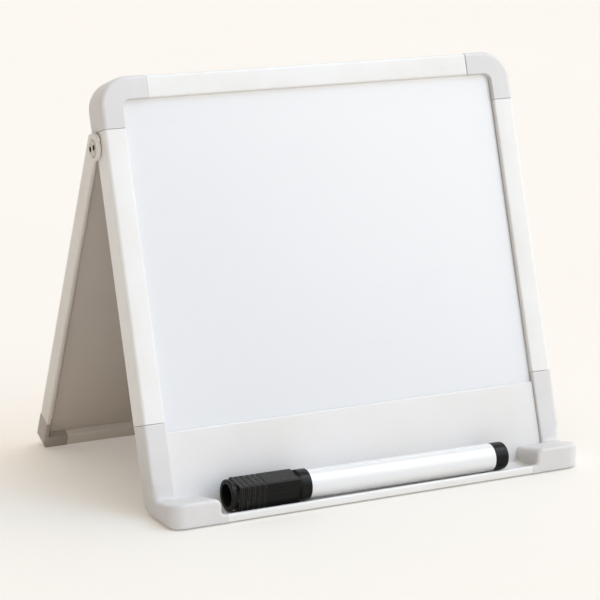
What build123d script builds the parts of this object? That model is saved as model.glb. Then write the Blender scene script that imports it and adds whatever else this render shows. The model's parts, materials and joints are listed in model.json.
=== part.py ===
from build123d import *
import os
from math import atan2, cos, radians, sin

# A small folding desk whiteboard: a front panel with a pen tray and a rear leg panel,
# hinged together under the two top corner caps, and a capped marker in the tray.
# All sizes are in millimetres. While the pieces are built, X runs across the easel,
# Y runs back and Z up, with the front face of the front panel meeting the desk at Y = 0.
# The finished pieces are moved so that the origin is the bottom centre of the whole easel.

# ---------------------------------------------------------------- driving dimensions
# stance
FRONT_TILT = 17.0          # degrees that the front panel leans back from upright
REAR_TILT = 25.3           # degrees that the rear panel leans forward from upright

# front panel
FRONT_WIDTH = 200.4        # over the moulded corner pieces
FRONT_HEIGHT = 187.0       # along the slope, desk to the top of the top corner caps
RAIL_WIDTH = 9.8           # face width of every front rail
RAIL_DEPTH = 11.8          # front face to back face of a front rail
RAIL_WALL = 1.8            # wall of the hollow rail
RAIL_OUTER_ROUND = 1.5     # rounding of the outer front edge
RAIL_EDGE_ROUND = 0.7      # rounding of the other long edges
CORNER_PROUD = 0.2         # how far the corner pieces stand out from the rails
CAP_ARM = 22.0             # length of each arm of a top corner cap
CAP_DEPTH = 15.4           # front to back of a top corner cap
CAP_OUTER_ROUND = 13.0     # outer corner radius of a cap, seen from the front
CAP_INNER_ROUND = 3.5      # inner corner radius of a cap
CAP_EDGE_ROUND = 1.9       # rounding of the outer front and back edges of a cap
CAP_BACK_ROUND = 2.4       # lower back corner of a cap, seen from the side
LOWER_ARM_TOP = 40.5       # slope height of the seam above a bottom corner piece
SEAM_GAP = 0.15            # open joint between a corner piece and the end of a rail
TONGUE_LENGTH = 14.0       # corner tongue inside a rail
TONGUE_GAP = 0.1           # play of a tongue in its rail

# board stack of both panels
SHEET_THICK = 0.5          # enamelled steel sheet
CORE_THICK = 2.6           # fibreboard core
BACKING_THICK = 0.4        # plastic backing sheet
BOARD_RECESS = 2.3         # front rail face to sheet surface
GROOVE_DEPTH = 3.0         # how deep the board edge sits in a front rail
BOARD_GAP = 0.1            # play of the board edge in its groove

# lower band and tray
BAND_TOP = 36.6            # slope height of the top edge of the lower band
BAND_STEP = 1.1            # how far the band stands out from the sheet
BAND_ROUND = 0.8           # rounding of the band's top edge
BAND_GAP = 0.15            # play between band and corner pieces
TRAY_FRONT = 15.0          # tray front ahead of the front face at desk level
TRAY_FLOOR = 2.0           # thickness of the tray floor
LIP_RUN = 2.7              # run of lip on a corner piece, from its bracket to the seam
LIP_HEIGHT = 4.0           # desk to the top of the lip
LIP_THICK = 2.2
LIP_ROUND = 0.9
BOTTOM_RAIL_TOP = 9.0      # slope height of the rail behind the band
HEEL_ROUND = 10.0          # big rounding under the back of the front panel

# tray end brackets, part of the bottom corner pieces
BRACKET_FRONT_TOP = 11.4   # height of a bracket at its front
BRACKET_BACK_TOP = 7.8     # height of a bracket where it meets the panel
BRACKET_END_ROUND = 3.0    # inner upper corner, seen from the front
BRACKET_FOOT_ROUND = 1.8   # hollow rounding between bracket and lip
CORNER_FOOT_ROUND = 3.0    # outer lower corner, seen from the front
CORNER_FOOT_DIP = 0.2      # how far that round would reach below the desk, so that it meets it at an angle
CORNER_PLAN_ROUND = 7.0    # outer front corner, seen from above
CORNER_EDGE_ROUND = 1.2    # rounding of the corner piece's upper and outer edges
PEG_RADIUS = 1.1           # peg that joins a corner piece to the tray rail
PEG_LENGTH = 7.0
PEG_COVER = 0.8            # tray rail above the peg

# rear panel
REAR_DEPTH = 8.9           # inner lip to outer face of the rear frame
REAR_LIP = 2.4             # inner lip ahead of the hinge axis
REAR_WALL = 1.6            # side wall that straddles the front panel when folded
REAR_FLANGE = 1.6          # outer flange that the rear board lies on
REAR_RAIL_WIDTH = 9.4      # face width of the rear rails
REAR_RIB = 2.4             # rib beside the board edge
REAR_SILL = 6.0            # height of the rear bottom rail's inner lip
REAR_TOP_DROP = 5.2        # hinge axis to the top edge of the rear top rail
REAR_RIB_DROP = 4.9        # hinge axis to the top of the ribs, clear of the hinge lugs
HEEL_RADIUS = 6.5          # round top of a side rail behind the hinge axis, which stops it open
REAR_CORNER_UP = 14.0      # rear corner piece along the side rail
REAR_CORNER_ACROSS = 11.5  # rear corner piece along the bottom rail
REAR_EDGE_ROUND = 0.7
REAR_FOOT_ROUND = 2.5      # rounding of the outer lower edge of the rear foot
REAR_FOOT_FLAT = 0.5       # how far the foot's inner edge is cut back flat on the desk
REAR_CORNER_ROUND = 3.5    # outer lower corner of the rear panel, seen from behind
SIDE_GAP = 0.2             # rear side wall to front corner piece
FOLD_GAP = 0.2             # rear board to the back of the front panel when folded

# hinge
HINGE_DROP = 6.3           # hinge axis below the underside of a top corner cap
HINGE_DEPTH = 10.7         # hinge axis behind the front face
LOBE_RADIUS = 5.4          # round top of a rear side rail
LUG_RADIUS = 4.2           # hinge lug of a top corner cap
LUG_GAP = 0.15             # lug to its notch in the side rail
LUG_LENGTH = 6.4
STOP_GAP = 0.1             # open stop, rear rail heel to cap underside
SCREW_HEAD_RADIUS = 3.7
SCREW_HEAD_THICK = 0.9
HEAD_SEAT_DEPTH = 0.7      # counterbore in the lobe
HEAD_GAP = 0.15            # head to counterbore, and head to its floor
SHOULDER_RADIUS = 2.5
SHOULDER_GAP = 0.05        # running fit of the lobe on the screw shoulder
THREAD_RADIUS = 1.5
THREAD_LENGTH = 5.0
THREAD_GAP = 0.02
INSERT_RADIUS = 2.4
INSERT_LENGTH = 5.4
WASHER_RADIUS = 4.0
WASHER_THICK = 0.25
SPANNER_HOLE_RADIUS = 1.3
SPANNER_HOLE_OFFSET = 2.0

# marker
BARREL_RADIUS = 6.1
BARREL_WALL = 1.0
MARKER_LENGTH = 135.2      # cap ring to end plug
CAP_END_GAP = 6.0          # cap ring to the left bracket
PLUG_END_GAP = 12.8        # end plug to the right bracket
MARKER_AHEAD = 6.3         # marker axis ahead of the front face at desk level
MARKER_REST_GAP = 0.25     # lowest points of the marker above the tray floor
PLUG_LENGTH = 7.2          # visible length of the end plug
PLUG_STEM = 6.0            # part of the plug inside the barrel
PLUG_ROUND = 1.8
CAP_LENGTH = 37.2
CAP_SQUARE = 11.5          # across the flats of the square part
CAP_SQUARE_ROUND = 1.0
CAP_ROLL = 8.0             # degrees that the flats are turned towards the viewer
CAP_ROUND_RADIUS = 6.8     # ring and skirt, which the cap rests on
CAP_SKIRT_LENGTH = 5.4
CAP_RING_LENGTH = 1.4
CAP_RING_BORE = 5.0
CAP_RING_BORE_DEPTH = 8.0
CAP_NECK_RADIUS = 5.5
CAP_NECK_LENGTH = 1.8
CAP_FLOOR = 2.0            # wall between eraser seat and pen chamber
CAP_FIT_GAP = 0.05         # cap mouth on the barrel shoulder
CAP_GROOVES = 5
CAP_GROOVE_PITCH = 2.6
CAP_GROOVE_WIDTH = 0.8
CAP_GROOVE_DEPTH = 0.2
CAP_GROOVE_START = 1.4     # first groove from the end of the square part
ERASER_THICK = 3.6
ERASER_GAP = 0.02
COLLAR_RADIUS = 5.5        # barrel front that the cap slides over
COLLAR_LENGTH = 5.0
GRIP_RADIUS = 4.0
GRIP_LENGTH = 9.0
GRIP_TIP_RADIUS = 2.4
GRIP_STEM = 8.0            # part of the nib holder inside the barrel
NIB_RADIUS = 1.9
NIB_LENGTH = 6.0           # nib beyond its holder
NIB_ROOT = 9.0             # nib inside its holder
RESERVOIR_RADIUS = 3.9
RESERVOIR_END_GAP = 3.2    # reservoir to the plug's stem
EASY_GAP = 0.1             # play between the marker's inner pieces

# ---------------------------------------------------------------- worked-out values
FRONT = Plane(
    origin=(0, 0, 0),
    x_dir=(1, 0, 0),
    z_dir=(0, -cos(radians(FRONT_TILT)), sin(radians(FRONT_TILT))),
)


def panel_yz(slope, depth):
    """Upright (Y, Z) of a point of the front panel, from slope height and depth behind its face."""
    lean = radians(FRONT_TILT)
    return slope * sin(lean) + depth * cos(lean), slope * cos(lean) - depth * sin(lean)


def slope_at_height(height, depth):
    """Slope height at which the surface at this depth is this high above the desk."""
    lean = radians(FRONT_TILT)
    return (height + depth * sin(lean)) / cos(lean)


HALF = FRONT_WIDTH / 2
BRACKET_INNER = (MARKER_LENGTH + CAP_END_GAP + PLUG_END_GAP) / 2    # easel's middle to a bracket
TRAY_HALF = BRACKET_INNER - LIP_RUN                   # half length of the tray between its seams
MARKER_LEFT = BRACKET_INNER - CAP_END_GAP             # cap ring end from the easel's middle
RAIL_HALF = HALF - CORNER_PROUD                       # outer face of the side rails
RAIL_TOP = FRONT_HEIGHT - CORNER_PROUD                # outer face of the top rail
WINDOW_HALF = RAIL_HALF - RAIL_WIDTH                  # inner edge of the side rails
WINDOW_TOP = RAIL_TOP - RAIL_WIDTH                    # inner edge of the top rail
CAP_SEAM_SLOPE = FRONT_HEIGHT - CAP_ARM               # underside of the top corner caps
CAP_SEAM_HALF = HALF - CAP_ARM
LOWER_DEPTH = RAIL_DEPTH + CORNER_PROUD / 2           # back of the bottom corner pieces
BOARD_THICK = SHEET_THICK + CORE_THICK + BACKING_THICK
BAND_DEPTH = BOARD_RECESS - BAND_STEP
BOARD_HALF = WINDOW_HALF + GROOVE_DEPTH - BOARD_GAP
BOARD_TOP = WINDOW_TOP + GROOVE_DEPTH - BOARD_GAP
BOARD_BOTTOM = BOTTOM_RAIL_TOP - GROOVE_DEPTH + BOARD_GAP

HINGE_SLOPE = CAP_SEAM_SLOPE - HINGE_DROP
HINGE_Y, HINGE_Z = panel_yz(HINGE_SLOPE, HINGE_DEPTH)
REAR = Plane(
    origin=(0, HINGE_Y, HINGE_Z),
    x_dir=(1, 0, 0),
    z_dir=(0, -cos(radians(REAR_TILT)), -sin(radians(REAR_TILT))),
)
REAR_INNER_HALF = HALF + SIDE_GAP
REAR_HALF = REAR_INNER_HALF + REAR_WALL
REAR_BACK = REAR_LIP - REAR_DEPTH                     # outer face, behind the hinge axis
REAR_SEAT = REAR_BACK + REAR_FLANGE                   # face that the rear board lies on
REAR_BOARD_INNER = HINGE_DEPTH - LOWER_DEPTH - FOLD_GAP
REAR_CORE_THICK = REAR_BOARD_INNER - REAR_SEAT - SHEET_THICK - BACKING_THICK
REAR_BOARD_HALF = REAR_INNER_HALF - REAR_RIB - BOARD_GAP
FOOT_DROP = (HINGE_Z - REAR_LIP * sin(radians(REAR_TILT))) / cos(radians(REAR_TILT))
REAR_BOTTOM = -(FOOT_DROP + REAR_FOOT_FLAT)
REAR_SIDE_END = REAR_BOTTOM + REAR_CORNER_UP
REAR_LOWER_HALF = REAR_HALF - REAR_CORNER_ACROSS

CAP_SKIRT_START = CAP_LENGTH - CAP_SKIRT_LENGTH       # station where the square part ends
MARKER_SLOPE = atan2(CAP_ROUND_RADIUS - BARREL_RADIUS, MARKER_LENGTH - PLUG_ROUND - CAP_LENGTH)
MARKER_Z = TRAY_FLOOR + MARKER_REST_GAP + (
    CAP_ROUND_RADIUS * cos(MARKER_SLOPE) + CAP_LENGTH * sin(MARKER_SLOPE)
)                                                     # centre of the ring above the desk
MARKER = Plane(
    origin=(-MARKER_LEFT, -MARKER_AHEAD, MARKER_Z),
    x_dir=(0, 1, 0),
    z_dir=(cos(MARKER_SLOPE), 0, -sin(MARKER_SLOPE)),
)
CAP_MOUTH = CAP_LENGTH                                # station of the cap's open end
SHOULDER_STATION = CAP_MOUTH + EASY_GAP               # full barrel starts here
COLLAR_STATION = SHOULDER_STATION - COLLAR_LENGTH
GRIP_STATION = COLLAR_STATION - GRIP_LENGTH
NIB_TIP_STATION = GRIP_STATION - NIB_LENGTH
BARREL_END = MARKER_LENGTH - PLUG_LENGTH


# ---------------------------------------------------------------- building helpers
def block(plane, across, up, out):
    """Box between pairs of limits along a plane's X, Y and Z."""
    limits = (across, up, out)
    sizes = [high - low for low, high in limits]
    middle = [(high + low) / 2 for low, high in limits]
    return plane * Pos(*middle) * Box(*sizes)


def rounded_face(points, rounds):
    """Flat face through the points, with the numbered corners rounded."""
    face = make_face(Polyline(*points, close=True))
    for index, radius in rounds.items():
        corner = face.vertices().sort_by_distance((*points[index], 0))[0]
        face = fillet(corner, radius)
    return face


def side_prism(points, rounds, low, high):
    """Outline in (Y, Z), drawn out along X from low to high."""
    plane = Plane(origin=(low, 0, 0), x_dir=(0, 1, 0), z_dir=(1, 0, 0))
    return plane * extrude(rounded_face(points, rounds), high - low)


def axis_cylinder(plane, radius, start, end, across=0, up=0):
    """Cylinder along X about a point of a panel plane."""
    turned = Pos((start + end) / 2, across, up) * Rot(0, 90, 0)
    return plane * turned * Cylinder(radius, end - start)


def mirrored(part):
    return mirror(part, about=Plane.YZ)


# ---------------------------------------------------------------- front rails
def rail_section():
    """Hollow rail section: X is inwards from the outer face, Y is back from the front face."""
    slot_end = BOARD_RECESS + BOARD_THICK
    slot_floor = RAIL_WIDTH - GROOVE_DEPTH
    outline = [
        (0, 0), (RAIL_WIDTH, 0), (RAIL_WIDTH, BOARD_RECESS), (slot_floor, BOARD_RECESS),
        (slot_floor, slot_end), (RAIL_WIDTH, slot_end), (RAIL_WIDTH, RAIL_DEPTH), (0, RAIL_DEPTH),
    ]
    section = rounded_face(outline, {0: RAIL_OUTER_ROUND, 1: RAIL_EDGE_ROUND,
                                     6: RAIL_EDGE_ROUND, 7: RAIL_EDGE_ROUND})
    (low, high), (near, far) = cavity_limits()
    return section - Pos((low + high) / 2, (near + far) / 2) * Rectangle(high - low, far - near)


def cavity_limits(gap=0.0):
    """Limits of a rail's cavity, inwards and back, less a gap all round."""
    inner = RAIL_WIDTH - GROOVE_DEPTH - RAIL_WALL
    return (RAIL_WALL + gap, inner - gap), (RAIL_WALL + gap, RAIL_DEPTH - RAIL_WALL - gap)


def side_rail():
    """Left rail, notched at its top for the hinge lug of the corner cap."""
    low, high = LOWER_ARM_TOP + SEAM_GAP, CAP_SEAM_SLOPE - SEAM_GAP
    section_plane = Plane(FRONT.from_local_coords((-RAIL_HALF, low, 0)),
                          x_dir=FRONT.x_dir, z_dir=FRONT.y_dir)
    rail = section_plane * extrude(rail_section(), high - low)
    return rail - lug_room(LUG_GAP)


def top_rail():
    half = CAP_SEAM_HALF - SEAM_GAP
    section_plane = Plane(FRONT.from_local_coords((-half, RAIL_TOP, 0)),
                          x_dir=-FRONT.y_dir, z_dir=FRONT.x_dir)
    return section_plane * extrude(rail_section(), 2 * half)


# ---------------------------------------------------------------- top corner caps
def lug_room(gap=0.0):
    """Room of the left hinge lug, from the cap down to the hinge axis."""
    radius = LUG_RADIUS + gap
    outer, inner = -RAIL_HALF - gap, -RAIL_HALF + LUG_LENGTH + gap
    barrel = axis_cylinder(FRONT, radius, outer, inner, HINGE_SLOPE, -HINGE_DEPTH)
    neck = block(FRONT, (outer, inner), (HINGE_SLOPE, CAP_SEAM_SLOPE + gap),
                 (-HINGE_DEPTH - radius, -HINGE_DEPTH + radius))
    return barrel + neck


def hinge_lug():
    """Left hinge lug, cut back where the open rear rail's flange stands behind it."""
    behind = block(REAR, (-HALF, 0), (-LUG_RADIUS, CAP_ARM), (-CAP_ARM, REAR_SEAT + LUG_GAP))
    return lug_room() - behind


def top_cap():
    """Left top corner cap with its two tongues and its hinge lug."""
    points = [
        (-HALF, CAP_SEAM_SLOPE), (-WINDOW_HALF, CAP_SEAM_SLOPE), (-WINDOW_HALF, WINDOW_TOP),
        (-CAP_SEAM_HALF, WINDOW_TOP), (-CAP_SEAM_HALF, FRONT_HEIGHT), (-HALF, FRONT_HEIGHT),
    ]
    outline = rounded_face(points, {2: CAP_INNER_ROUND, 5: CAP_OUTER_ROUND})
    cap = FRONT * Pos(0, 0, -CAP_DEPTH) * extrude(outline, CAP_DEPTH + CORNER_PROUD)
    outer_edges = [
        edge for edge in cap.edges()
        if on_cap_face(edge) and on_cap_rim(edge)
    ]
    cap = fillet(outer_edges, CAP_EDGE_ROUND)
    from_side = [
        panel_yz(CAP_SEAM_SLOPE, -CORNER_PROUD), panel_yz(CAP_SEAM_SLOPE, CAP_DEPTH),
        panel_yz(FRONT_HEIGHT, CAP_DEPTH), panel_yz(FRONT_HEIGHT, -CORNER_PROUD),
    ]
    cap = cap & side_prism(from_side, {1: CAP_BACK_ROUND}, -HALF, 0)
    cap -= board_block(BOARD_GAP)
    (low, high), (near, far) = cavity_limits(TONGUE_GAP)
    down = block(FRONT, (-RAIL_HALF + low, -RAIL_HALF + high),
                 (CAP_SEAM_SLOPE - TONGUE_LENGTH, CAP_SEAM_SLOPE), (-far, -near))
    across = block(FRONT, (-CAP_SEAM_HALF, -CAP_SEAM_HALF + TONGUE_LENGTH),
                   (RAIL_TOP - high, RAIL_TOP - low), (-far, -near))
    seat = axis_cylinder(FRONT, INSERT_RADIUS, -RAIL_HALF - 1, -RAIL_HALF + INSERT_LENGTH,
                         HINGE_SLOPE, -HINGE_DEPTH)
    return cap + down + across + hinge_lug() - seat


def on_cap_face(edge):
    """True for an edge in the front or the back plane of a top corner cap."""
    depth = FRONT.to_local_coords(edge.center()).Z
    return abs(depth - CORNER_PROUD) < 0.01 or abs(depth + CAP_DEPTH) < 0.01


def on_cap_rim(edge):
    """True for an edge along the outer left side, top or outer round of the left cap."""
    middle = FRONT.to_local_coords(edge @ 0.5)
    near_side = middle.X < -HALF + CAP_OUTER_ROUND / 2 and middle.Y > CAP_SEAM_SLOPE + 0.1
    near_top = middle.Y > FRONT_HEIGHT - CAP_OUTER_ROUND / 2 and middle.X < -CAP_SEAM_HALF - 0.1
    side_or_top = abs(middle.X + HALF) < 0.01 or abs(middle.Y - FRONT_HEIGHT) < 0.01
    return side_or_top or (near_side and near_top)


# ---------------------------------------------------------------- boards
def board_layer(plane, half, low, high, near, thick):
    return block(plane, (-half, half), (low, high), (near - thick, near))


def board_block(gap=0.0):
    """Room of the whole front board stack, grown by a gap at its edges."""
    return board_layer(FRONT, BOARD_HALF + gap, BOARD_BOTTOM - gap, BOARD_TOP + gap,
                       -BOARD_RECESS, BOARD_THICK)


def front_boards():
    """Sheet, core and backing of the front board, front to back."""
    near = -BOARD_RECESS
    layers = {}
    for name, thick in (("front_board_sheet", SHEET_THICK), ("front_board_core", CORE_THICK),
                        ("front_board_backing", BACKING_THICK)):
        layers[name] = board_layer(FRONT, BOARD_HALF, BOARD_BOTTOM, BOARD_TOP, near, thick)
        near -= thick
    return layers


def rear_boards():
    """Inner backing, core and outer sheet of the rear board, front to back."""
    near = REAR_BOARD_INNER
    low = REAR_BOTTOM + REAR_SILL + BOARD_GAP
    high = -REAR_TOP_DROP - REAR_RIB - BOARD_GAP
    layers = {}
    for name, thick in (("rear_board_backing", BACKING_THICK), ("rear_board_core", REAR_CORE_THICK),
                        ("rear_board_sheet", SHEET_THICK)):
        layers[name] = board_layer(REAR, REAR_BOARD_HALF, low, high, near, thick)
        near -= thick
    return layers


# ---------------------------------------------------------------- tray, band, bottom corners
def heel_corner(depth):
    """Point where the back plane of the front panel would meet the desk."""
    return panel_yz(slope_at_height(0, depth), depth)


def heel_envelope(depth, low, high):
    """Room of the lower front panel above the desk, with the big round under its back."""
    points = [
        (-2 * TRAY_FRONT, 0), heel_corner(depth), panel_yz(BAND_TOP + HEEL_ROUND, depth),
        (-2 * TRAY_FRONT, BAND_TOP + HEEL_ROUND),
    ]
    return side_prism(points, {1: HEEL_ROUND}, low, high)


def lower_band():
    foot = TRAY_FLOOR
    points = [
        panel_yz(slope_at_height(foot, BAND_DEPTH), BAND_DEPTH),
        panel_yz(slope_at_height(foot, BOARD_RECESS), BOARD_RECESS),
        panel_yz(BAND_TOP, BOARD_RECESS),
        panel_yz(BAND_TOP, BAND_DEPTH),
    ]
    half = WINDOW_HALF - BAND_GAP
    return side_prism(points, {3: BAND_ROUND}, -half, half)


def tray_rail():
    """Tray floor, lip and the rail that holds the board's lower edge."""
    back = BOARD_RECESS + BOARD_THICK
    points = [
        (-TRAY_FRONT, 0), (-TRAY_FRONT, LIP_HEIGHT), (-TRAY_FRONT + LIP_THICK, LIP_HEIGHT),
        (-TRAY_FRONT + LIP_THICK, TRAY_FLOOR),
        panel_yz(slope_at_height(TRAY_FLOOR, BOARD_RECESS), BOARD_RECESS),
        panel_yz(BOARD_BOTTOM - BOARD_GAP, BOARD_RECESS), panel_yz(BOARD_BOTTOM - BOARD_GAP, back),
        panel_yz(BOTTOM_RAIL_TOP, back), panel_yz(BOTTOM_RAIL_TOP, RAIL_DEPTH),
        heel_corner(RAIL_DEPTH),
    ]
    rounds = {0: LIP_ROUND, 1: LIP_ROUND, 2: LIP_ROUND, 3: LIP_ROUND}
    rail = side_prism(points, rounds, -WINDOW_HALF, WINDOW_HALF)
    rail = rail & heel_envelope(RAIL_DEPTH, -WINDOW_HALF, WINDOW_HALF)
    for low, high in ((-WINDOW_HALF, -TRAY_HALF), (TRAY_HALF, WINDOW_HALF)):
        rail -= ahead_of_board(low, high)
    bore = corner_peg(TONGUE_GAP)
    return rail - bore - mirrored(bore)


def ahead_of_board(low, high):
    """Everything ahead of the board's surface near the tray, between two X limits."""
    return block(FRONT, (low, high), (-TRAY_FRONT, BAND_TOP), (-BOARD_RECESS, 2 * TRAY_FRONT))


def bottom_corner():
    """Left bottom corner piece: upright arm, tray end bracket and a short run of lip."""
    arm_front = -CORNER_PROUD / 2
    arm = [
        panel_yz(LOWER_ARM_TOP, arm_front), panel_yz(LOWER_ARM_TOP, LOWER_DEPTH),
        heel_corner(LOWER_DEPTH), heel_corner(arm_front),
    ]
    bracket = [
        (-TRAY_FRONT, 0), (-TRAY_FRONT, BRACKET_FRONT_TOP),
        panel_yz(slope_at_height(BRACKET_BACK_TOP, BAND_DEPTH), BAND_DEPTH),
        panel_yz(slope_at_height(TRAY_FLOOR, BAND_DEPTH), BAND_DEPTH),
        panel_yz(slope_at_height(TRAY_FLOOR, BOARD_RECESS), BOARD_RECESS),
        heel_corner(BOARD_RECESS),
    ]
    piece = side_prism(arm, {}, -HALF, -WINDOW_HALF) + side_prism(bracket, {}, -HALF, -TRAY_HALF)
    piece = piece & heel_envelope(LOWER_DEPTH, -HALF, -TRAY_HALF)
    front_view = [
        (-HALF, -CORNER_FOOT_DIP), (-TRAY_HALF, -CORNER_FOOT_DIP), (-TRAY_HALF, LIP_HEIGHT),
        (-BRACKET_INNER, LIP_HEIGHT),
        (-BRACKET_INNER, BRACKET_FRONT_TOP), (-WINDOW_HALF, BRACKET_FRONT_TOP),
        (-WINDOW_HALF, FRONT_HEIGHT), (-HALF, FRONT_HEIGHT),
    ]
    outline = rounded_face(front_view, {0: CORNER_FOOT_ROUND, 3: BRACKET_FOOT_ROUND})
    sight = Plane(origin=(0, 4 * TRAY_FRONT, 0), x_dir=(1, 0, 0), z_dir=(0, -1, 0))
    piece = piece & (sight * extrude(outline, 6 * TRAY_FRONT))
    from_above = [
        (-HALF, -TRAY_FRONT), (-HALF, 4 * TRAY_FRONT), (-TRAY_HALF, 4 * TRAY_FRONT),
        (-TRAY_HALF, -TRAY_FRONT),
    ]
    piece = piece & extrude(rounded_face(from_above, {0: CORNER_PLAN_ROUND}), FRONT_HEIGHT)
    piece = fillet([edge for edge in piece.edges() if on_bracket_end(edge)], BRACKET_END_ROUND)
    piece = fillet([edge for edge in piece.edges() if on_corner_rim(edge)], CORNER_EDGE_ROUND)
    piece -= block(Plane.XY, (-BRACKET_INNER, 0), (LIP_THICK - TRAY_FRONT, TRAY_FRONT),
                   (TRAY_FLOOR, BRACKET_FRONT_TOP))
    piece -= board_block(BOARD_GAP)
    (low, high), (near, far) = cavity_limits(TONGUE_GAP)
    tongue = block(FRONT, (-RAIL_HALF + low, -RAIL_HALF + high),
                   (LOWER_ARM_TOP, LOWER_ARM_TOP + TONGUE_LENGTH), (-far, -near))
    return piece + tongue + corner_peg()


def on_bracket_end(edge):
    """True for the edge between a bracket's top and its inner end (left side)."""
    middle = edge @ 0.5
    inner_end = abs(middle.X + BRACKET_INNER) < 0.01
    return inner_end and middle.Z > BRACKET_BACK_TOP and abs(middle.Y + TRAY_FRONT) > 1


def on_corner_rim(edge):
    """True for the upper edges of the left tray end bracket and its lip, and the arm's outer edges."""
    middle = edge @ 0.5
    slope = FRONT.to_local_coords(middle).Y
    smooth_join = abs((edge % 0.5).Z) > 0.999 and middle.X < -BRACKET_INNER - 0.01
    ahead = abs(middle.Y + TRAY_FRONT) < 0.01 and middle.Z > LIP_HEIGHT - 0.01
    beside = abs(middle.X + HALF) < 0.01 and CORNER_FOOT_ROUND < middle.Z and slope < LOWER_ARM_TOP - 0.01
    turn_x = middle.X < -HALF + CORNER_PLAN_ROUND
    turn_y = middle.Y < -TRAY_FRONT + CORNER_PLAN_ROUND
    turn = turn_x and turn_y and middle.Z > BRACKET_BACK_TOP
    return (ahead or beside or turn) and not smooth_join


def corner_peg(gap=0.0):
    """Round peg of the left bottom corner piece, in the end of the tray rail."""
    depth = (BOARD_RECESS + BOARD_THICK + RAIL_DEPTH) / 2 - PEG_RADIUS / 2
    return axis_cylinder(FRONT, PEG_RADIUS + gap, -WINDOW_HALF, -WINDOW_HALF + PEG_LENGTH + gap,
                         BOTTOM_RAIL_TOP - PEG_RADIUS - PEG_COVER, -depth)


# ---------------------------------------------------------------- rear frame
def rear_side_section(proud=0.0):
    """Stepped section of a rear side rail: X inwards from the outer wall, Y towards the front."""
    inner = REAR_WALL + REAR_RIB
    points = [
        (-proud, REAR_BACK - proud), (REAR_RAIL_WIDTH + proud, REAR_BACK - proud),
        (REAR_RAIL_WIDTH + proud, REAR_SEAT), (inner, REAR_SEAT), (inner, REAR_BOARD_INNER),
        (REAR_WALL, REAR_BOARD_INNER), (REAR_WALL, REAR_LIP + proud), (-proud, REAR_LIP + proud),
    ]
    return rounded_face(points, {0: REAR_EDGE_ROUND, 1: REAR_EDGE_ROUND, 7: REAR_EDGE_ROUND})


def rear_side_run(start, end, proud=0.0):
    """Run of the left rear side section between two stations along the rear slope."""
    plane = Plane(REAR.from_local_coords((-REAR_HALF, end, 0)),
                  x_dir=REAR.x_dir, z_dir=-REAR.y_dir)
    return plane * extrude(rear_side_section(proud), end - start)


def rear_sill_run(low, high, proud=0.0):
    """Run of the rear bottom section along X, cut flat where it stands on the desk."""
    top = REAR_BOTTOM + REAR_SILL
    flange = REAR_BOTTOM + REAR_RAIL_WIDTH
    points = [
        (REAR_BOTTOM - proud, REAR_BACK - proud), (flange + proud, REAR_BACK - proud),
        (flange + proud, REAR_SEAT), (top, REAR_SEAT), (top, REAR_LIP + proud),
        (REAR_BOTTOM - proud, REAR_LIP + proud),
    ]
    face = rounded_face(points, {0: REAR_FOOT_ROUND, 1: REAR_EDGE_ROUND, 4: REAR_EDGE_ROUND,
                                 5: REAR_EDGE_ROUND})
    plane = Plane(REAR.from_local_coords((low, 0, 0)), x_dir=REAR.y_dir, z_dir=REAR.x_dir)
    return plane * extrude(face, high - low)


def above_desk(part):
    below = block(Plane.XY, (-FRONT_WIDTH, FRONT_WIDTH), (-FRONT_HEIGHT, FRONT_HEIGHT),
                  (-FRONT_HEIGHT, 0))
    return part - below


def rear_side_rail():
    """Left rear side rail with its hinge lobe and the heel that stops the rear panel open."""
    rail = rear_side_run(REAR_SIDE_END, HEEL_RADIUS)
    inboard = (-REAR_INNER_HALF, -REAR_HALF + REAR_RAIL_WIDTH + 1)
    rail -= block(REAR, inboard, (-REAR_RIB_DROP, HEEL_RADIUS + 1), (REAR_SEAT, LOBE_RADIUS))
    above = block(REAR, (-2 * HALF, 0), (0, 2 * HEEL_RADIUS), (-2 * HEEL_RADIUS, 2 * HEEL_RADIUS))
    rail -= above - axis_cylinder(REAR, HEEL_RADIUS, -2 * HALF, 0)
    rail += axis_cylinder(REAR, LOBE_RADIUS, -REAR_HALF, -REAR_INNER_HALF)
    stop = CAP_SEAM_SLOPE - STOP_GAP
    rail -= block(FRONT, (-2 * HALF, 0), (stop, stop + CAP_ARM), (-3 * CAP_DEPTH, CAP_DEPTH))
    rail -= block(FRONT, inboard, (HINGE_SLOPE - CAP_ARM, stop + CAP_ARM),
                  (-LOWER_DEPTH - FOLD_GAP, CAP_DEPTH))
    bore = axis_cylinder(REAR, SHOULDER_RADIUS + SHOULDER_GAP, -REAR_HALF - 1, -REAR_INNER_HALF + 1)
    seat = axis_cylinder(REAR, SCREW_HEAD_RADIUS + HEAD_GAP, -REAR_HALF - 1,
                         -REAR_HALF + HEAD_SEAT_DEPTH)
    return rail - bore - seat


def rear_top_rail():
    """Rear top rail, between the side rails just below the hinge axis."""
    flange_half = REAR_HALF - REAR_RAIL_WIDTH
    rib_half = REAR_INNER_HALF - REAR_RIB
    flange = block(REAR, (-flange_half, flange_half),
                   (-REAR_TOP_DROP - REAR_RAIL_WIDTH, -REAR_TOP_DROP), (REAR_BACK, REAR_SEAT))
    rib = block(REAR, (-rib_half, rib_half),
                (-REAR_TOP_DROP - REAR_RIB, -REAR_TOP_DROP), (REAR_SEAT, REAR_BOARD_INNER))
    return flange + rib


def rear_bottom_rail():
    return above_desk(rear_sill_run(-REAR_LOWER_HALF, REAR_LOWER_HALF))


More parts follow.
